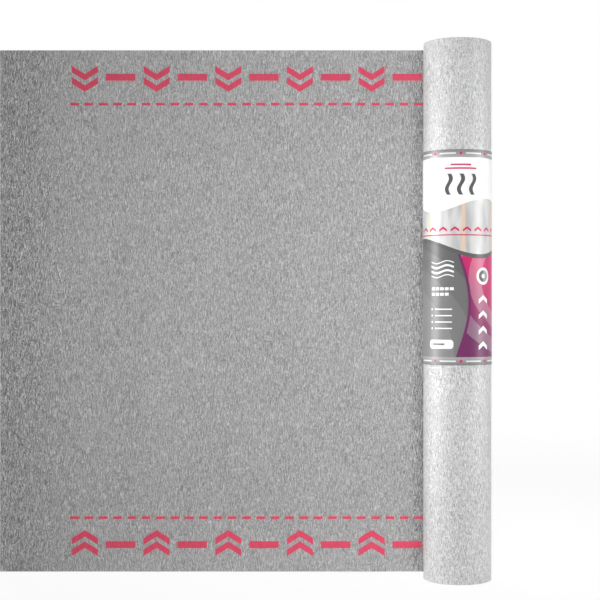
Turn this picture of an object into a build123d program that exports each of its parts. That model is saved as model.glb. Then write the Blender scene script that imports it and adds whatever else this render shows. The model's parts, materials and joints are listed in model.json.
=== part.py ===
"""Foil-faced foam insulation: one sheet wound into an upright roll, its outer end led off, and a label round it.

Millimetres, +Z up. The origin is the centre of the bore where the roll stands on the floor. The free end of
the sheet leaves the back of the roll (+Y) and runs straight to the left (-X).
"""

import os
from math import acos, cos, sin, sqrt

from build123d import *

# The sheet, wound and free.
SHEET_WIDTH = 1200.0
SHEET_THICKNESS = 3.0
FREE_LENGTH = 1043.0
TURNS = 16
BORE_DIAMETER = 53.0

# The seam between one turn and the next, as it shows on the two ends of the roll.
SEAM_WIDTH = 0.6
SEAM_DEPTH = 3.0

# The label, a printed band round the outer turn. Its tab is stuck to the back of the free end.
LABEL_HEIGHT = 474.0
LABEL_BELOW_TOP = 245.0
LABEL_THICKNESS = 0.6
LABEL_STANDOFF = 0.5
LABEL_TAB = 18.0
LABEL_END_CLEARANCE = 0.5

# A wound sheet is made of half turns about two centres in turn, a quarter of its thickness either side of the
# bore's axis, so that each full turn lies exactly one thickness inside the last.
CENTRE_SHIFT = SHEET_THICKNESS / 4
BORE_RADIUS = BORE_DIAMETER / 2
RIGHT_RADIUS = BORE_RADIUS + (TURNS + 1) * SHEET_THICKNESS - CENTRE_SHIFT
LEFT_RADIUS = RIGHT_RADIUS - 2 * CENTRE_SHIFT
BACK_FACE = RIGHT_RADIUS + CENTRE_SHIFT
INNER_FACE = BACK_FACE - SHEET_THICKNESS


def right_half(offset):
    """Outer turn's right half from back to front, moved out by offset."""
    radius = RIGHT_RADIUS + offset
    return ThreePointArc(
        (0, CENTRE_SHIFT + radius), (radius, CENTRE_SHIFT), (0, CENTRE_SHIFT - radius)
    )


def left_half(offset):
    """Outer turn's left half from front to back, moved out by offset."""
    radius = LEFT_RADIUS + offset
    return ThreePointArc(
        (0, -CENTRE_SHIFT - radius), (-radius, -CENTRE_SHIFT), (0, -CENTRE_SHIFT + radius)
    )


def left_part(offset, end):
    """The left half stopped short of the back, at the point end, which lies on it."""
    radius = LEFT_RADIUS + offset
    return ThreePointArc((0, -CENTRE_SHIFT - radius), (-radius, -CENTRE_SHIFT), end)


def wedge_length():
    """How far left of the axis the sheet has parted from the turn below by one seam width."""
    return sqrt(LEFT_RADIUS**2 - (LEFT_RADIUS - SEAM_WIDTH) ** 2)


def sheet_plan():
    """The whole roll seen from above, its turns as one face, with the free end leaving at a tangent."""
    wedge = wedge_length()
    parting = (-wedge, INNER_FACE - SEAM_WIDTH)
    return make_face(
        [
            Line((-FREE_LENGTH, BACK_FACE), (0, BACK_FACE)),
            right_half(0),
            left_part(0, parting),
            Line(parting, (-wedge, INNER_FACE)),
            Line((-wedge, INNER_FACE), (-FREE_LENGTH, INNER_FACE)),
            Line((-FREE_LENGTH, INNER_FACE), (-FREE_LENGTH, BACK_FACE)),
        ]
    )


def seam_line(inset):
    """The line between the turns, from the parting to the sheet's inner end, moved in by inset."""
    start = INNER_FACE - inset
    edges = [Line((-wedge_length(), start), (0, start))]
    for turn in range(1, TURNS + 1):
        depth = turn * SHEET_THICKNESS + inset
        edges.append(right_half(-depth))
        if turn < TURNS:
            edges.append(left_half(-depth))
    return edges


def seam_plan():
    """The seam as a face one seam width across, opening into the bore where the sheet begins."""
    outer = seam_line(0)
    inner = seam_line(SEAM_WIDTH)
    outer_end = outer[-1] @ 1
    inner_end = inner[-1] @ 1
    in_bore = -BORE_RADIUS + SEAM_WIDTH
    slit = Polyline(
        outer_end,
        (-SEAM_WIDTH, outer_end.Y),
        (-SEAM_WIDTH, in_bore),
        (0, in_bore),
        inner_end,
    )
    mouth = Line(outer[0] @ 0, inner[0] @ 0)
    return make_face([*outer, *slit.edges(), *inner, mouth])


def insulation_sheet():
    """One solid: the wound turns with their bore, the seam cut into both ends, and the free end."""
    body = extrude(sheet_plan(), SHEET_WIDTH)
    bore = extrude(Circle(BORE_RADIUS), SHEET_WIDTH)
    seam = extrude(seam_plan(), SEAM_DEPTH)
    return body - bore - seam - Pos(0, 0, SHEET_WIDTH - SEAM_DEPTH) * seam


def label_band():
    """The label follows the outer turn from the back of the free end round to the wedge under it."""
    near = LABEL_STANDOFF
    far = LABEL_STANDOFF + LABEL_THICKNESS
    stop = acos((LEFT_RADIUS - LABEL_END_CLEARANCE) / (LEFT_RADIUS + far))

    def end_point(offset):
        radius = LEFT_RADIUS + offset
        return (-radius * sin(stop), -CENTRE_SHIFT + radius * cos(stop))

    plan = make_face(
        [
            Line((-LABEL_TAB, BACK_FACE + near), (0, BACK_FACE + near)),
            right_half(near),
            left_part(near, end_point(near)),
            Line(end_point(near), end_point(far)),
            left_part(far, end_point(far)),
            right_half(far),
            Line((0, BACK_FACE + far), (-LABEL_TAB, BACK_FACE + far)),
            Line((-LABEL_TAB, BACK_FACE + far), (-LABEL_TAB, BACK_FACE + near)),
        ]
    )
    return Pos(0, 0, SHEET_WIDTH - LABEL_BELOW_TOP - LABEL_HEIGHT) * extrude(plan, LABEL_HEIGHT)


def main():
    """Write each piece to its own file in parts."""
    os.makedirs("parts", exist_ok=True)
    export_step(insulation_sheet(), "parts/insulation_sheet.step")
    export_step(label_band(), "parts/label_band.step")


main()
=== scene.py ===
"""Foil-faced foam insulation: one sheet wound into an upright roll, its end led off flat, and a label.

Metres, +Z up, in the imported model's frame. The roll's axis is at the origin. The free end of the sheet leaves
the back of the roll (+Y) and runs to the left (-X). Every strip, the label too, is laid out straight and then
wound on to the roll by one Geometry Nodes tree.
"""

import json
import math

import bpy
from bpy.props import FloatProperty, FloatVectorProperty, IntProperty, PointerProperty
from bpy.types import Operator, Panel, PropertyGroup
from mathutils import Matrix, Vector


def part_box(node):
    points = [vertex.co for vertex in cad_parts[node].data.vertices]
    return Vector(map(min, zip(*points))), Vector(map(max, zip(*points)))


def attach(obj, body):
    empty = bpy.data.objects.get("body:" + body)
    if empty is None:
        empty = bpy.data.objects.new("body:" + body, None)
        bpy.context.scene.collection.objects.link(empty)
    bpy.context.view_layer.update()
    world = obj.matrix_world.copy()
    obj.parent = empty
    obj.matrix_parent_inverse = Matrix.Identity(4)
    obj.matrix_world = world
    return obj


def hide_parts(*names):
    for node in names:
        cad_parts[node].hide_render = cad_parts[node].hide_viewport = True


bl_info = {
    "name": "Insulation roll",
    "version": (1, 0, 0),
    "blender": (4, 5, 0),
    "location": "View3D > Sidebar > Roll",
    "description": "Builds an upright roll of foil-faced foam insulation with its end led off",
    "category": "Add Mesh",
}

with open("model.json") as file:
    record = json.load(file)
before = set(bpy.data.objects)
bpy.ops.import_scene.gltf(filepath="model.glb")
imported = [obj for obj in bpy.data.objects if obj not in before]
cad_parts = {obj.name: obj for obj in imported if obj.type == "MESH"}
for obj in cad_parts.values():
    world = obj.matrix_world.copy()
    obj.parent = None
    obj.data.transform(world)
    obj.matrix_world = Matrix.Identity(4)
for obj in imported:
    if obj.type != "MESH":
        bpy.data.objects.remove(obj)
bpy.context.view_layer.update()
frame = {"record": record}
sheet_low, sheet_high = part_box("insulation_sheet")
label_low, label_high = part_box("label_band")
bore = next(mount for mount in frame["record"]["mounts"] if mount["kind"] == "bore")

MM = 0.001
BODY = "root"

# What the winding tree leaves on a strip: its place when it lay straight, and which way each face looks.
LAID_OUT = "laid_out"
FACING = "facing"

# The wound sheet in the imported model: its outer turn is half circles a quarter of its thickness off the axis.
THICKNESS = round(4 * (sheet_high.y - sheet_high.x), 6)
BORE_RADIUS = bore["dims"]["r_mm"] * MM
TURNS = (sheet_high.y - BORE_RADIUS) / THICKNESS - 0.5

# Places on the roll, in turns from where the free end leaves it: the middle of the front, the last of the
# outer turn that is seen, the label's end in the wedge under the free end, and where the inner turns begin.
FRONT_TURN = 0.5
SEEN_TURNS = 0.93
LABEL_TURNS = 0.967
OUTER_TURNS = 1.06

# Half a sheet as a share of its thickness, a hair less than it is so that the wound turns stay apart.
HALF_SHEET = 0.49

# The label, and how far its tab reaches along the back of the free end.
LABEL_PROUD = label_high.x - sheet_high.x
LABEL_THICKNESS = 0.8 * MM
LABEL_TAB = 18 * MM

# How far the film's crinkles stand up.
CRINKLE_HEIGHT = 0.6 * MM

# The box that a strip starts as is one unit along each side. A point beyond these places is on a face or end.
ON_FACE = 0.4
ON_END = 0.499
CREASE_ANGLE = math.radians(25)

# The photograph is square. Its camera was fitted to the roll's rims and silhouettes and to the sheet's edges.
PHOTO_SIDE = 600
FOCAL_PIXELS = 1328.3
HORIZON_ROW = 307.7
CAMERA_PLACE = (-0.3523, -2.983, 0.6074)


def wound_length(turns, radius, thickness):
    """Length of sheet along its middle, from where it meets the roll to so many turns further in."""
    angle = 2 * math.pi * turns
    return radius * angle - thickness * (angle**2 / (4 * math.pi))


class Term:
    """A number, vector or colour in a node tree. Sums on it add Math nodes."""

    def __init__(self, graph, socket):
        self.graph = graph
        self.socket = socket

    def math(self, operation, *others):
        return self.graph.math(operation, self, *others)

    def __add__(self, other):
        return self.math("ADD", other)

    def __radd__(self, other):
        return self.graph.math("ADD", other, self)

    def __sub__(self, other):
        return self.math("SUBTRACT", other)

    def __rsub__(self, other):
        return self.graph.math("SUBTRACT", other, self)

    def __mul__(self, other):
        return self.math("MULTIPLY", other)

    def __rmul__(self, other):
        return self.graph.math("MULTIPLY", other, self)

    def __truediv__(self, other):
        return self.math("DIVIDE", other)

    def __gt__(self, other):
        return self.math("GREATER_THAN", other)

    def __lt__(self, other):
        return self.math("LESS_THAN", other)

    def __abs__(self):
        return self.math("ABSOLUTE")

    def least(self, other):
        return self.math("MINIMUM", other)

    def most(self, other):
        return self.math("MAXIMUM", other)

    def repeat(self, length):
        """Where this lies in a pattern of that length, from 0 to the length."""
        return self.math("FLOORED_MODULO", length)

    def eased(self, start, end):
        """0 up to start, 1 from end on, and smooth between. The start may be the larger."""
        return self.graph.term(
            "ShaderNodeMapRange",
            {"interpolation_type": "SMOOTHSTEP"},
            {"Value": self, "From Min": start, "From Max": end},
        )


# Where a Mix node keeps its colours among its inputs and outputs.
COLOUR_A, COLOUR_B, COLOUR_RESULT = 6, 7, 2


class Graph:
    """One node tree in the making."""

    def __init__(self, tree):
        self.tree = tree
        tree.nodes.clear()

    def node(self, kind, settings=None, sockets=None):
        """Adds a node. Its settings are set first, and then its sockets get their values or links."""
        made = self.tree.nodes.new(kind)
        for name, value in (settings or {}).items():
            setattr(made, name, value)
        for key, value in (sockets or {}).items():
            self.feed(made.inputs[key], value)
        return made

    def feed(self, socket, value):
        """Links a term or another node's socket to this socket, or sets it to a plain value."""
        if isinstance(value, Term):
            self.tree.links.new(value.socket, socket)
        elif isinstance(value, bpy.types.NodeSocket):
            self.tree.links.new(value, socket)
        else:
            socket.default_value = value

    def term(self, kind, settings=None, sockets=None, output=0):
        """Adds a node and gives back one of its outputs."""
        return Term(self, self.node(kind, settings, sockets).outputs[output])

    def math(self, operation, *values):
        """A Math node on terms and plain numbers."""
        return self.term("ShaderNodeMath", {"operation": operation}, dict(enumerate(values)))

    def vector(self, x, y, z=0.0):
        return self.term("ShaderNodeCombineXYZ", None, {"X": x, "Y": y, "Z": z})

    def parts(self, vector):
        """The three numbers of a vector."""
        node = self.node("ShaderNodeSeparateXYZ", None, {"Vector": vector})
        return [Term(self, node.outputs[axis]) for axis in "XYZ"]

    def noise(self, vector, scale=1.0, detail=2.0):
        """Soft noise about 0.5, with cells that are one over the scale across."""
        sockets = {"Vector": vector, "Scale": scale, "Detail": detail}
        return self.term("ShaderNodeTexNoise", None, sockets)

    def blend(self, share, below, above):
        """A colour: below where share is 0, above where it is 1."""
        sockets = {"Factor": share, COLOUR_A: below, COLOUR_B: above}
        return self.term("ShaderNodeMix", {"data_type": "RGBA"}, sockets, COLOUR_RESULT)


def colour(red, green, blue):
    """A colour that is named by its screen values, from 0 to 255, as a linear one."""
    linear = []
    for level in (red, green, blue):
        share = level / 255
        linear.append(share / 12.92 if share <= 0.04045 else ((share + 0.055) / 1.055) ** 2.4)
    return (*linear, 1.0)


def grey(level):
    return colour(level, level, level)


class RollSizes(PropertyGroup):
    """What a user would change about the roll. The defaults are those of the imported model."""

    width: FloatProperty(
        name="Width", description="Height of the standing roll", default=sheet_high.z, unit="LENGTH"
    )
    free_length: FloatProperty(
        name="Free end", description="Length led off the roll", default=-sheet_low.x, unit="LENGTH"
    )
    thickness: FloatProperty(
        name="Thickness", description="Thickness of the foam", default=THICKNESS, unit="LENGTH"
    )
    bore_radius: FloatProperty(
        name="Bore radius", description="Radius that the first turn lies on", default=BORE_RADIUS,
        unit="LENGTH",
    )
    relief: FloatProperty(
        name="Relief", description="Height of the film's soft wrinkles", default=0.3 * MM, unit="LENGTH"
    )
    waviness: FloatProperty(
        name="Waviness", description="How far the free end is from flat", default=0.8 * MM, unit="LENGTH"
    )
    telescoping: FloatProperty(
        name="Telescoping", description="How far turns stand below the ends", default=1.2 * MM,
        unit="LENGTH",
    )
    seed: IntProperty(name="Seed", description="Start of the random relief", default=7)


class RollColours(PropertyGroup):
    """The colours of the roll."""

    foil: FloatVectorProperty(
        name="Foil", description="The printed metallised face", default=grey(168), subtype="COLOR", size=4
    )
    film: FloatVectorProperty(
        name="Film", description="The paler face, outside on the roll", default=grey(193), subtype="COLOR",
        size=4,
    )
    foam: FloatVectorProperty(
        name="Foam", description="The cut edges", default=colour(236, 236, 233), subtype="COLOR", size=4
    )
    marks: FloatVectorProperty(
        name="Lap marks", description="The print on the foil", default=colour(226, 72, 102),
        subtype="COLOR", size=4,
    )
    charcoal: FloatVectorProperty(
        name="Charcoal", description="The label's main field", default=grey(90), subtype="COLOR", size=4
    )
    magenta: FloatVectorProperty(
        name="Magenta", description="The label's sweep", default=colour(198, 30, 104), subtype="COLOR",
        size=4,
    )
    purple: FloatVectorProperty(
        name="Purple", description="The sweep's shaded end", default=colour(104, 24, 86), subtype="COLOR",
        size=4,
    )


def strip_sockets():
    """Names and kinds of what the winding tree takes, in order."""
    numbers = ["Start", "End", "Low", "High", "Inside", "Outside", "Corner", "Free length", "Middle radius"]
    numbers += ["Sheet thickness", "Bore radius", "Relief", "Waviness", "Telescoping", "Label low"]
    numbers += ["Label high", "Seed"]
    sockets = [(name, "NodeSocketFloat") for name in numbers]
    sockets += [("Columns", "NodeSocketInt"), ("Rows", "NodeSocketInt")]
    sockets += [(name, "NodeSocketMaterial") for name in ("Inner face", "Outer face", "Edges")]
    return sockets


def winding_tree():
    """The tree that makes a strip: a straight box, given its relief and then wound along the roll."""
    tree = bpy.data.node_groups.new("Wound strip", "GeometryNodeTree")
    for name, kind in strip_sockets():
        tree.interface.new_socket(name, in_out="INPUT", socket_type=kind)
    tree.interface.new_socket("Geometry", in_out="OUTPUT", socket_type="NodeSocketGeometry")
    graph = Graph(tree)
    group = graph.node("NodeGroupInput")
    given = {name: Term(graph, group.outputs[name]) for name, _ in strip_sockets()}

    box = graph.term(
        "GeometryNodeMeshCube",
        None,
        {"Size": (1, 1, 1), "Vertices X": given["Columns"], "Vertices Y": 4, "Vertices Z": given["Rows"]},
    )
    _, facing, _ = graph.parts(graph.term("GeometryNodeInputNormal"))
    faced = stored(graph, box, "FLOAT", "FACE", FACING, facing)
    x, y, z = graph.parts(graph.term("GeometryNodeInputPosition"))
    along = given["Start"] + (x + 0.5) * (given["End"] - given["Start"])
    height = given["Low"] + (z + 0.5) * (given["High"] - given["Low"])
    along, across, height = rounded_box(graph, given, (x, y, z), along, height)
    laid_out = stored(graph, faced, "FLOAT_VECTOR", "POINT", LAID_OUT, graph.vector(along, height, across))
    across = across + relief(graph, given, y, along, height)
    height = height + uneven_ends(graph, given, z, along)
    place = wound_place(graph, given, along, across, height)
    wound = graph.term("GeometryNodeSetPosition", None, {"Geometry": laid_out, "Position": place})
    angle = graph.term("GeometryNodeInputMeshEdgeAngle")
    creased = graph.term(
        "GeometryNodeSetShadeSmooth",
        {"domain": "EDGE"},
        {"Geometry": wound, "Selection": angle > CREASE_ANGLE, "Shade Smooth": False},
    )
    finished = graph.term("GeometryNodeRealizeInstances", None, {"Geometry": creased})
    facing = graph.term("GeometryNodeInputNamedAttribute", {"data_type": "FLOAT"}, {"Name": FACING})
    chosen = {"Edges": abs(facing) < 0.5, "Outer face": facing > 0.5, "Inner face": facing < -0.5}
    for name, faces in chosen.items():
        sockets = {"Geometry": finished, "Selection": faces, "Material": given[name]}
        finished = graph.term("GeometryNodeSetMaterial", None, sockets)
    graph.node("NodeGroupOutput", None, {"Geometry": finished})
    return tree


def stored(graph, geometry, kind, domain, name, value):
    """The geometry with a named attribute on it."""
    settings = {"data_type": kind, "domain": domain}
    sockets = {"Geometry": geometry, "Name": name, "Value": value}
    return graph.term("GeometryNodeStoreNamedAttribute", settings, sockets)


def rounded_box(graph, given, unit, along, height):
    """Place on the straight strip with its long corners cut back: how far along, across and up."""
    x, y, z = unit
    corner = given["Corner"]
    at_face = abs(y) > ON_FACE
    half = (given["Outside"] - given["Inside"]) / 2
    middle = (given["Outside"] + given["Inside"]) / 2
    across = middle + y.math("SIGN") * (half - corner * (1 - at_face))
    cut_along = (abs(x) > ON_END) * at_face * corner
    cut_up = (abs(z) > ON_END) * at_face * corner
    return along - x.math("SIGN") * cut_along, across, height - z.math("SIGN") * cut_up


def relief(graph, given, y, along, height):
    """The film's soft wrinkles, on what can be seen of it, and the waviness of the whole free end."""
    outer = y > 0
    inner = 1 - outer
    free = given["Free length"]
    seen_end = free + wound_length(SEEN_TURNS, given["Middle radius"], given["Sheet thickness"])
    fade, label_edge = 20 * MM, 6 * MM
    seen_outside = outer * along.eased(seen_end + fade, seen_end)
    seen_inside = inner * along.eased(free - 0.03, free - 0.09)
    under_label = (
        height.eased(given["Label low"] - label_edge, given["Label low"])
        * height.eased(given["Label high"] + label_edge, given["Label high"])
        * along.eased(free - LABEL_TAB - fade, free - LABEL_TAB)
    )
    seen = seen_inside + seen_outside * (1 - under_label)
    folds = graph.noise(graph.vector(along * 62, height * 24, given["Seed"] + outer * 9), detail=1.0)
    lies = graph.noise(graph.vector(along * 5, height * 3.5, given["Seed"]), detail=1.0)
    led_off = along.eased(free - 0.02, free - 0.25)
    return (folds - 0.5) * 2 * given["Relief"] * seen + (lies - 0.5) * 2 * given["Waviness"] * led_off


def uneven_ends(graph, given, z, along):
    """The turns don't end quite level. Both edges only ever stand inside the strip's own width."""
    at_end = abs(z) > ON_END
    drift = graph.noise(graph.vector(along * 7, z * 20, given["Seed"]), detail=2.0)
    wound_in = 0.15 + 0.85 * along.eased(given["Free length"] + 0.3, given["Free length"] + 0.55)
    return -1 * z.math("SIGN") * at_end * drift * given["Telescoping"] * wound_in


def wound_place(graph, given, along, across, height):
    """From a place on the straight strip to its place round the roll, along an even spiral."""
    pitch = given["Sheet thickness"] / (2 * math.pi)
    radius = given["Middle radius"]
    wound = (along - given["Free length"]).most(0)
    angle = (radius - (radius * radius - 2 * pitch * wound).math("SQRT")) / pitch
    reach = (radius - pitch * angle + across).most(given["Bore radius"])
    left = (given["Free length"] - along).most(0)
    return graph.vector(reach * angle.math("SINE") - left, reach * angle.math("COSINE"), height)


def wound_strip(name, tree, values, nodes):
    """Runs the winding tree with those values and makes its result a plain mesh in place of CAD nodes."""
    holder = bpy.data.objects.new(name + "_strip", bpy.data.meshes.new(name + "_strip"))
    bpy.context.scene.collection.objects.link(holder)
    modifier = holder.modifiers.new("Wound strip", "NODES")
    modifier.node_group = tree
    for item in tree.interface.items_tree:
        if item.in_out == "INPUT":
            modifier[item.identifier] = values[item.name]
    evaluated = holder.evaluated_get(bpy.context.evaluated_depsgraph_get())
    mesh = bpy.data.meshes.new_from_object(evaluated)
    bpy.data.objects.remove(holder)
    mesh.name = name
    piece = bpy.data.objects.new(name, mesh)
    bpy.context.scene.collection.objects.link(piece)
    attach(piece, BODY)
    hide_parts(*nodes)


def middle_radius(sizes):
    """Radius of the middle of the outer turn where the free end leaves it."""
    return sizes.bore_radius + TURNS * sizes.thickness


def place_along(sizes, turns):
    """How far from the cut end of the sheet a place is that lies so many turns into the roll."""
    return sizes.free_length + wound_length(turns, middle_radius(sizes), sizes.thickness)


def strip_values(sizes):
    """What every strip on this roll has in common."""
    return {
        "Low": 0.0,
        "High": sizes.width,
        "Inside": -HALF_SHEET * sizes.thickness,
        "Outside": HALF_SHEET * sizes.thickness,
        "Corner": 0.4 * MM,
        "Free length": sizes.free_length,
        "Middle radius": middle_radius(sizes),
        "Sheet thickness": sizes.thickness,
        "Bore radius": sizes.bore_radius,
        "Relief": 0.0,
        "Waviness": sizes.waviness,
        "Telescoping": sizes.telescoping,
        "Label low": label_low.z,
        "Label high": label_high.z,
        "Seed": float(sizes.seed),
    }


def material(name, viewport_colour):
    """A new node material, its graph and its shader."""
    made = bpy.data.materials.new(name)
    made.use_nodes = True
    made.diffuse_color = viewport_colour
    graph = Graph(made.node_tree)
    shader = graph.node("ShaderNodeBsdfPrincipled")
    graph.node("ShaderNodeOutputMaterial", None, {"Surface": shader.outputs[0]})
    return made, graph, shader


def strip_place(graph):
    """Place on the strip as it lies straight: how far along, how high and how far out, in metres."""
    return graph.parts(graph.term("ShaderNodeAttribute", {"attribute_name": LAID_OUT}, output="Vector"))


def crinkle(graph, along, height, seed, fineness):
    """The film's fine upright crinkles as a height from 0 to 1: long ridges that weave, and shorter ones."""
    # How many of them to a metre along the sheet and up it, and how far their rows slant.
    ridges, breaks, slant = 600 * fineness, 52 * fineness, 37
    weave = graph.noise(graph.vector(along * 50, height * 60, seed), detail=1.0) - 0.5
    sideways = along * ridges + weave * 5
    upwards = height * breaks + along * slant + weave * 3
    deep = seed + weave * 7
    long_ones = graph.noise(graph.vector(sideways, upwards, deep), detail=0.0)
    short_ones = graph.noise(graph.vector(sideways * 1.13, upwards * 4, deep + 5), detail=0.0)
    crest = (long_ones * 1.5 + short_ones * 1.1 - 0.8).most(0)
    return (crest * (crest + 1) / 2).least(1)


def lap_marks(along, height, width):
    """Marks along both long edges: chevrons that point at the edge, bars between, and a dashed lap line."""
    # In metres: where a group of marks begins, its length, the groups' spacing and that of the marks.
    first, printed, every, step = 0.155, 0.825, 1.1, 0.165
    place = (along - first).repeat(every)
    spot = (place.repeat(step) - step / 2) / MM
    up = height.least(width - height) / MM
    from_point = abs(spot + 42)

    # From here on in mm. Each shape is a number that is less than 0 inside it.
    def chevron(point):
        return (abs(from_point * 0.62 + up - point) * 0.85 - 6.5).most(from_point - 30)

    bar = (abs(spot - 40) - 34).most(abs(up - 62) - 8)
    lap = (abs((place / MM).repeat(33) - 16.5) - 10).most(abs(up - 124) - 3.2)
    outside = chevron(62).least(chevron(88)).least(bar).least(lap)
    soft = 0.5
    return (0.5 - outside / soft).most(0).least(1) * (place < printed)


def scaled(linear, factor):
    """A colour made that much brighter, and no brighter than white."""
    return (*(min(level * factor, 1.0) for level in linear[:3]), 1.0)


def crinkle_bump(graph, shader, strength, depth):
    """Stands the crinkles up as bump."""
    sockets = {"Strength": strength, "Distance": CRINKLE_HEIGHT, "Height": depth}
    graph.feed(shader.inputs["Normal"], graph.term("ShaderNodeBump", None, sockets))


def foil_face(colours, sizes):
    """Metallised film with lap marks printed on it: the front of the free end.

    It puckers where it is wound up, and there its valleys are painted darker as shade from the roll. Towards
    the cut end its valleys are painted darker too, as painted shade.
    """
    made, graph, shader = material("printed_foil", colours.foil)
    along, height, _ = strip_place(graph)
    crests_and_painted_light = crinkle(graph, along, height, 1.0, 1.1)
    hidden_from = sizes.free_length - 0.08
    pucker_and_painted_shade = along.eased(hidden_from - 0.03, hidden_from)
    painted_shade_at_cut_end = along.eased(0.2, 0.0)
    cloud = graph.noise(graph.vector(along * 9, height * 7, 2.0), detail=2.0).eased(0.3, 0.7)
    # The crinkles' valleys are painted in a darker copy of the foil, with a slow random tone: painted shade.
    low = graph.blend(cloud, scaled(colours.foil, 0.58), scaled(colours.foil, 0.66))
    # Over the last 0.2 m to the cut end the valleys are painted darker still: painted shade.
    low = graph.blend(painted_shade_at_cut_end, low, scaled(colours.foil, 0.29))
    # Next to the roll, where the sheet puckers as it is wound up, the valleys are painted darker: painted shade
    # from the roll. The deeper bump there is real relief.
    low = graph.blend(pucker_and_painted_shade, low, scaled(colours.foil, 0.34))
    # The crests are painted in a lighter copy of the foil: painted highlight.
    plain = graph.blend(crests_and_painted_light, low, scaled(colours.foil, 1.63))
    ink = lap_marks(along, height, sizes.width)
    # The lap marks are painted lighter on the crests too: painted highlight over the print.
    inked = graph.blend(crests_and_painted_light, scaled(colours.marks, 0.94), scaled(colours.marks, 1.15))
    graph.feed(shader.inputs["Base Color"], graph.blend(ink, plain, inked))
    graph.feed(shader.inputs["Metallic"], 0.25 * (1 - ink))
    graph.feed(shader.inputs["Roughness"], 0.45 - 0.1 * crests_and_painted_light + 0.1 * ink)
    crinkle_bump(graph, shader, 0.8, crests_and_painted_light * (1 + 2 * pucker_and_painted_shade))
    return made


def film_face(colours):
    """The paler film on the outside of the roll and the back of the free end, with painted highlights on its
    crinkles' crests and painted shade in their valleys.
    """
    made, graph, shader = material("pale_film", colours.film)
    along, height, _ = strip_place(graph)
    crests_and_painted_light = crinkle(graph, along, height, 11.0, 1.3)
    cloud = graph.noise(graph.vector(along * 9, height * 7, 12.0), detail=2.0).eased(0.3, 0.7)
    # The valleys are painted in a darker copy of the film, with a slow random tone: painted shade.
    low = graph.blend(cloud, scaled(colours.film, 0.57), scaled(colours.film, 0.63))
    # The crests are painted in a lighter copy of the film: painted highlight.
    graph.feed(shader.inputs["Base Color"], graph.blend(crests_and_painted_light, low, scaled(colours.film, 1.63)))
    shader.inputs["Metallic"].default_value = 0.12
    graph.feed(shader.inputs["Roughness"], 0.34 - 0.08 * crests_and_painted_light)
    crinkle_bump(graph, shader, 0.9, crests_and_painted_light)
    return made


def foam_edge(colours, thickness):
    """The cut edge: white closed-cell foam with tiny pits, painted darker in them as shade, between the thin
    dark lines of the two films.
    """
    made, graph, shader = material("foam_edge", colours.foam)
    place = graph.term("ShaderNodeTexCoord", output="Object")
    cells = graph.term("ShaderNodeTexVoronoi", None, {"Vector": place, "Scale": 1500.0})
    pits = cells.eased(0.0, 0.5)
    _, _, across = strip_place(graph)
    film = (abs(across) / thickness).eased(0.34, 0.42)
    # The pits are painted in a darker copy of the foam: painted shade in them.
    foam = graph.blend(pits, scaled(colours.foam, 0.72), tuple(colours.foam))
    graph.feed(shader.inputs["Base Color"], graph.blend(film, foam, scaled(colours.foil, 0.6)))
    shader.inputs["Roughness"].default_value = 0.7
    bump = graph.term("ShaderNodeBump", None, {"Strength": 0.6, "Distance": 0.3 * MM, "Height": pits})
    graph.feed(shader.inputs["Normal"], bump)
    return made


def block(a, b, middle_a, middle_b, width, height):
    """How far outside an upright rectangle a point is, and less than 0 in it."""
    return (abs(a - middle_a) - width / 2).most(abs(b - middle_b) - height / 2)


def disc(a, b, middle_a, middle_b, radius):
    """How far outside a disc a point is, and less than 0 in it."""
    from_a = a - middle_a
    from_b = b - middle_b
    return (from_a * from_a + from_b * from_b).math("SQRT") - radius


def filled(distance, soft=0.35):
    """1 inside a shape, 0 outside it."""
    return distance.eased(soft, -soft)


class Print:
    """A printed surface in the making, one ink over another."""

    def __init__(self, graph, ground):
        self.graph = graph
        self.ink = ground

    def lay(self, mask, ink):
        """Prints an ink where the mask is 1."""
        self.ink = self.graph.blend(mask, self.ink, ink)


# The label's print is laid out in mm: a runs to the right from the middle of the front, b up from below.
FRONT_HALF_WIDTH = 128
TRIM_HEIGHT = 18
CRIMSON = colour(196, 36, 84)
FIELD_WHITE = grey(246)
DISC_WHITE = grey(238)
STRAND_GREY = grey(78)


def print_back(sheet, a, b):
    """Rows of small marks round the back of the roll."""
    row = (b / 9).math("FLOOR")
    marks = sheet.graph.noise(sheet.graph.vector(a * 0.16, row * 7.3), detail=0.0).eased(0.4, 0.44)
    in_row = filled(abs(b.repeat(9) - 4.5) - 1.1)
    in_panel = filled(abs(b - 225) - 166) * filled(abs(abs(a) - 182) - 40)
    sheet.lay(marks * in_row * in_panel, grey(96))


def print_lower_front(sheet, a, b, on_front, colours):
    """A charcoal field with tone on tone arcs at the left, and a sweep of magenta at the right."""
    magenta, purple = tuple(colours.magenta), tuple(colours.purple)
    sheet.lay(on_front, tuple(colours.charcoal))
    for radius, level in ((250, 104), (205, 116), (160, 128)):
        sheet.lay(on_front * filled(disc(a, b, -175, 20, radius)), grey(level))
    sweep = 2 + 20 * ((b - 40) / 62).math("SINE")
    right = filled(sweep - a) * on_front
    sheet.lay(filled(sweep - 6 - a) * on_front, purple)
    glow = ((b - 30) / 240 + (a - 60) / 260).eased(0.0, 0.8)
    sheet.lay(right, sheet.graph.blend(glow, purple, magenta))
    for radius in (96, 150):
        sheet.lay(right * filled(abs(disc(a, b, 128, 190, radius)) - 16) * 0.16, grey(235))


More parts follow.
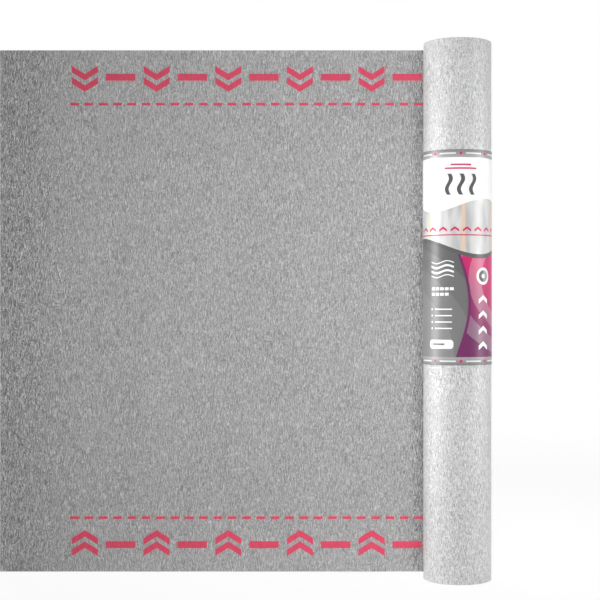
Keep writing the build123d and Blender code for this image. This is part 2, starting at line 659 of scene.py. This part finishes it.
def print_window(sheet, a, b, on_front):
    """A silver window with battens behind the foil and lap marks on it. Gives back where it is."""
    window_low = 262 - 18 * ((a + 30) / 46).math("SINE")
    window = filled(window_low - b) * on_front
    shine = sheet.graph.noise(sheet.graph.vector(a * 0.05, b * 0.012), detail=1.0).eased(0.35, 0.65)
    sheet.lay(filled(window_low - 9 - b) * on_front, grey(82))
    sheet.lay(window, sheet.graph.blend(shine, grey(182), grey(208)))
    sheet.lay(window * filled(abs((a + 34).repeat(78) - 39) - 3.4), colour(224, 196, 172))
    mark = abs(a.repeat(26) - 13)
    point = (abs(mark * 0.7 + b - 302) * 0.82 - 2.2).most(mark - 9)
    sheet.lay(window * filled(point), CRIMSON)
    sheet.lay(window * filled(abs(b - 286) - 1.3), CRIMSON)
    return window


def print_white_field(sheet, a, b, on_front):
    """A white field with a waved edge: two lines over three strands of rising warmth."""
    field_low = 352 + 15 * (a / 40).math("SINE")
    sheet.lay(filled(field_low - b) * on_front, FIELD_WHITE)
    sheet.lay(filled(block(a, b, 0, 440, 44, 3.6)), CRIMSON)
    sheet.lay(filled(block(a, b, 0, 432, 70, 3.6)), CRIMSON)
    strand = abs((a + 39).repeat(26) - 13 - 4.5 * ((b - 398) / 7.5).math("SINE")) - 4.3
    sheet.lay(filled(strand.most(block(a, b, 0, 397, 78, 46))), STRAND_GREY)


def print_left_column(sheet, a, b):
    """Three plies one over another, two dashed headings, a list, and a rounded bar under them."""
    ply = b - 200 - 3.2 * ((a + 42) / 8).math("SINE")
    plies = (abs(ply.repeat(11) - 5.5) - 2.2).most(abs(ply - 11) - 16.5)
    sheet.lay(filled(plies.most(abs(a + 42) - 27)), FIELD_WHITE)
    dashes = filled(abs((a + 69).repeat(11) - 5.5) - 4.2)
    sheet.lay(dashes * filled(block(a, b, -42, 168, 54, 6.4)), FIELD_WHITE)
    sheet.lay(dashes * filled(block(a, b, -47.5, 156, 43, 6.4)), FIELD_WHITE)
    entry = abs((b - 74).repeat(14) - 7)
    dot = (abs(a + 67) - 1.9).most(entry - 1.9)
    line = (abs(a + 39) - 20).most(entry - 1.3)
    sheet.lay(filled(dot.least(line).most(abs(b - 102) - 28)), FIELD_WHITE)
    corner_a, corner_b = (abs(a + 45) - 22).most(0), (abs(b - 46) - 3).most(0)
    sheet.lay(filled((corner_a * corner_a + corner_b * corner_b).math("SQRT") - 7), DISC_WHITE)
    sheet.lay(filled(block(a, b, -51, 46, 30, 4)), grey(110))


def print_right_column(sheet, a, b):
    """A column of arrowheads that rises to a disc of layers."""
    middle_a, middle_b = 54, 196
    core = disc(a, b, middle_a, middle_b, 13)
    sheet.lay(filled(disc(a, b, middle_a, middle_b, 19)), DISC_WHITE)
    sheet.lay(filled(core), STRAND_GREY)
    sheet.lay(filled(core.most(middle_a - a)), grey(150))
    sheet.lay(filled(disc(a, b, middle_a, middle_b, 5)), DISC_WHITE)
    arrow = (b - 28).repeat(34) - 20
    head = (abs(abs(a - middle_a) * 0.75 + arrow) * 0.8 - 3.8).most(abs(a - middle_a) - 13)
    sheet.lay(filled(head.most(abs(b - 96) - 68)), FIELD_WHITE)


def print_trims(sheet, a, b, tall, colours):
    """Grey trims along both edges, with dashes and dots in turn."""
    edge = b.least(tall - b)
    every = 58
    shade = sheet.graph.blend(edge.eased(0, TRIM_HEIGHT), grey(122), grey(160))
    sheet.lay(filled(edge - TRIM_HEIGHT), shade)
    dash = (abs(edge - TRIM_HEIGHT / 2) - 1.6).most(abs(a.repeat(every) - every / 2) - 18)
    sheet.lay(filled(dash), grey(226))
    dot = disc((a + every / 2).repeat(every), edge, every / 2, TRIM_HEIGHT / 2, 3.4)
    sheet.lay(filled(dot), tuple(colours.magenta))


def label_print(graph, a, b, tall, colours):
    """The label's print, from the ground up, and where its silver window is."""
    sheet = Print(graph, grey(206))
    on_front = filled(abs(a) - FRONT_HALF_WIDTH)
    print_back(sheet, a, b)
    print_lower_front(sheet, a, b, on_front, colours)
    window = print_window(sheet, a, b, on_front)
    print_white_field(sheet, a, b, on_front)
    print_left_column(sheet, a, b)
    print_right_column(sheet, a, b)
    print_trims(sheet, a, b, tall, colours)
    return sheet.ink, window


def label_face(colours, sizes):
    """The label's printed face: glossy film that follows the roll in soft upright ripples."""
    made, graph, shader = material("label_print", grey(130))
    along, height, _ = strip_place(graph)
    a = (place_along(sizes, FRONT_TURN) - along) / MM
    b = (height - label_low.z) / MM
    ink, window = label_print(graph, a, b, (label_high.z - label_low.z) / MM, colours)
    graph.feed(shader.inputs["Base Color"], ink)
    graph.feed(shader.inputs["Metallic"], 0.2 * window)
    ripples = graph.noise(graph.vector(along * 70, height * 8, 21.0), detail=2.0)
    graph.feed(shader.inputs["Roughness"], 0.36 + 0.1 * ripples)
    bump = graph.term("ShaderNodeBump", None, {"Strength": 0.35, "Distance": 1.0 * MM, "Height": ripples})
    graph.feed(shader.inputs["Normal"], bump)
    return made


def label_back():
    """The unprinted white side and edges of the label."""
    made, graph, shader = material("label_back", grey(235))
    place = graph.term("ShaderNodeTexCoord", output="Object")
    fibres = graph.noise(place, scale=400.0)
    graph.feed(shader.inputs["Base Color"], graph.blend(fibres, grey(222), grey(244)))
    shader.inputs["Roughness"].default_value = 0.5
    return made


class ROLL_OT_sheet(Operator):
    """Make the free end and the outer turn, with the film's relief on them"""

    bl_idname = "insulation_roll.sheet"
    bl_label = "Free end and outer turn"

    def execute(self, context):
        sizes = context.scene.roll_sizes
        colours = context.scene.roll_colours
        values = strip_values(sizes) | {
            "Start": 0.0,
            "End": place_along(sizes, OUTER_TURNS),
            "Relief": sizes.relief,
            "Columns": 370,
            "Rows": 116,
            "Inner face": foil_face(colours, sizes),
            "Outer face": film_face(colours),
            "Edges": foam_edge(colours, sizes.thickness),
        }
        tree = bpy.data.node_groups.get("Wound strip") or winding_tree()
        wound_strip("foil_sheet", tree, values, ["insulation_sheet"])
        return {"FINISHED"}


class ROLL_OT_turns(Operator):
    """Make the turns inside the outer one, which show on the roll's ends and in its bore"""

    bl_idname = "insulation_roll.turns"
    bl_label = "Inner turns"

    def execute(self, context):
        sizes = context.scene.roll_sizes
        values = strip_values(sizes) | {
            "Start": place_along(sizes, OUTER_TURNS),
            "End": place_along(sizes, TURNS),
            "Columns": 1000,
            "Rows": 4,
            "Inner face": bpy.data.materials["printed_foil"],
            "Outer face": bpy.data.materials["pale_film"],
            "Edges": bpy.data.materials["foam_edge"],
        }
        tree = bpy.data.node_groups["Wound strip"]
        wound_strip("wound_turns", tree, values, ["insulation_sheet"])
        return {"FINISHED"}


class ROLL_OT_label(Operator):
    """Make the printed label round the outer turn"""

    bl_idname = "insulation_roll.label"
    bl_label = "Label"

    def execute(self, context):
        sizes = context.scene.roll_sizes
        colours = context.scene.roll_colours
        back = label_back()
        outside = sizes.thickness / 2 + LABEL_PROUD
        values = strip_values(sizes) | {
            "Start": sizes.free_length - LABEL_TAB,
            "End": place_along(sizes, LABEL_TURNS),
            "Low": label_low.z,
            "High": label_high.z,
            "Inside": outside - LABEL_THICKNESS,
            "Outside": outside,
            "Corner": 0.15 * MM,
            "Waviness": 0.0,
            "Telescoping": 0.0,
            "Columns": 180,
            "Rows": 60,
            "Inner face": back,
            "Outer face": label_face(colours, sizes),
            "Edges": back,
        }
        tree = bpy.data.node_groups["Wound strip"]
        wound_strip("printed_label", tree, values, ["label_band"])
        return {"FINISHED"}


def soft_lamp(name, turn, rise, distance, aim, power, size, spread):
    """A soft lamp, turn degrees to the right of straight in front of its aim and rise degrees up."""
    data = bpy.data.lights.new(name, "AREA")
    data.energy = power
    data.shape = "RECTANGLE"
    data.size, data.size_y = size
    data.spread = math.radians(spread)
    made = bpy.data.objects.new(name, data)
    bpy.context.scene.collection.objects.link(made)
    turn, rise, aim = math.radians(turn), math.radians(rise), Vector(aim)
    level = math.cos(rise)
    towards = Vector((math.sin(turn) * level, -math.cos(turn) * level, math.sin(rise)))
    made.location = aim + distance * towards
    made.rotation_euler = (-towards).to_track_quat("-Z", "Y").to_euler()
    made.visible_camera = False


def background_share(graph):
    """1 for rays that come from the camera or a gloss, where the surroundings are plain white."""
    path = graph.node("ShaderNodeLightPath")
    names = ("Is Camera Ray", "Is Glossy Ray", "Is Transmission Ray")
    rays = [Term(graph, path.outputs[name]) for name in names]
    return rays[0].most(rays[1]).most(rays[2])


def white_world(ambient):
    """White where it is seen, and an even dimmer light elsewhere."""
    world = bpy.data.worlds.new("studio")
    world.use_nodes = True
    graph = Graph(world.node_tree)
    share = background_share(graph)
    strength = ambient + share * (1 - ambient)
    surface = graph.node("ShaderNodeBackground", None, {"Color": (1, 1, 1, 1), "Strength": strength})
    graph.node("ShaderNodeOutputWorld", None, {"Surface": surface.outputs[0]})
    bpy.context.scene.world = world


def pale_floor():
    """A pale floor that keeps the roll's shadow and turns to the white of the surroundings further off."""
    reach = 30.0
    mesh = bpy.data.meshes.new("floor")
    corners = [(-reach, -reach, 0), (reach, -reach, 0), (reach, reach, 0), (-reach, reach, 0)]
    mesh.from_pydata(corners, [], [(0, 1, 2, 3)])
    floor = bpy.data.objects.new("floor", mesh)
    bpy.context.scene.collection.objects.link(floor)
    made = bpy.data.materials.new("floor")
    made.use_nodes = True
    graph = Graph(made.node_tree)
    x, y, _ = graph.parts(graph.term("ShaderNodeTexCoord", output="Object"))
    distance = (x * x + y * y).math("SQRT")
    share = background_share(graph) * (0.93 + 0.07 * distance.eased(1.2, 4.0))
    matt = graph.node("ShaderNodeBsdfDiffuse", None, {"Color": (0.85, 0.85, 0.85, 1)})
    white = graph.node("ShaderNodeEmission", None, {"Color": (1, 1, 1, 1), "Strength": 1.0})
    sockets = {0: share, 1: matt.outputs[0], 2: white.outputs[0]}
    both = graph.node("ShaderNodeMixShader", None, sockets)
    graph.node("ShaderNodeOutputMaterial", None, {"Surface": both.outputs[0]})
    mesh.materials.append(made)


class ROLL_OT_stage(Operator):
    """Set up the camera, the lamps, the white surroundings and the floor"""

    bl_idname = "insulation_roll.stage"
    bl_label = "Stage"

    def execute(self, context):
        camera = bpy.data.cameras.new("camera")
        camera.sensor_width = 36.0
        camera.lens = FOCAL_PIXELS / PHOTO_SIDE * camera.sensor_width
        camera.shift_y = (HORIZON_ROW - PHOTO_SIDE / 2) / PHOTO_SIDE
        holder = bpy.data.objects.new("camera", camera)
        holder.location = CAMERA_PLACE
        holder.rotation_euler = (math.radians(90), 0, 0)
        context.scene.collection.objects.link(holder)
        context.scene.camera = holder
        context.scene.view_settings.view_transform = "Standard"
        white_world(0.24)
        pale_floor()
        soft_lamp(
            "left", turn=-84, rise=0, distance=3.6, aim=(0, 0, 0.72), power=12, size=(1.5, 1.5), spread=58
        )
        soft_lamp(
            "right", turn=74, rise=0, distance=1.8, aim=(0, 0, 0.7), power=7, size=(0.3, 1.5), spread=120
        )
        soft_lamp(
            "fill", turn=-6, rise=50, distance=4.2, aim=(0, 0, 0.6), power=4, size=(1.2, 1.0), spread=20
        )
        soft_lamp(
            "back", turn=195, rise=40, distance=4.5, aim=(-0.5, 0, 0.6), power=15, size=(2.5, 2), spread=60
        )
        return {"FINISHED"}


class ROLL_PT_panel(Panel):
    """The roll's sizes and colours, and its pieces one by one"""

    bl_idname = "ROLL_PT_panel"
    bl_label = "Insulation roll"
    bl_space_type = "VIEW_3D"
    bl_region_type = "UI"
    bl_category = "Roll"

    def draw(self, context):
        for group in (context.scene.roll_sizes, context.scene.roll_colours):
            for name in group.__annotations__:
                self.layout.prop(group, name)
        for operator in OPERATORS:
            self.layout.operator(operator.bl_idname)


OPERATORS = (ROLL_OT_sheet, ROLL_OT_turns, ROLL_OT_label, ROLL_OT_stage)
CLASSES = (RollSizes, RollColours, *OPERATORS, ROLL_PT_panel)


def register():
    for cls in CLASSES:
        bpy.utils.register_class(cls)
    bpy.types.Scene.roll_sizes = PointerProperty(type=RollSizes)
    bpy.types.Scene.roll_colours = PointerProperty(type=RollColours)


def unregister():
    del bpy.types.Scene.roll_colours
    del bpy.types.Scene.roll_sizes
    for cls in reversed(CLASSES):
        bpy.utils.unregister_class(cls)


def main():
    register()
    bpy.ops.insulation_roll.sheet()
    bpy.ops.insulation_roll.turns()
    bpy.ops.insulation_roll.label()
    bpy.ops.insulation_roll.stage()


if __name__ == "__main__":
    main()
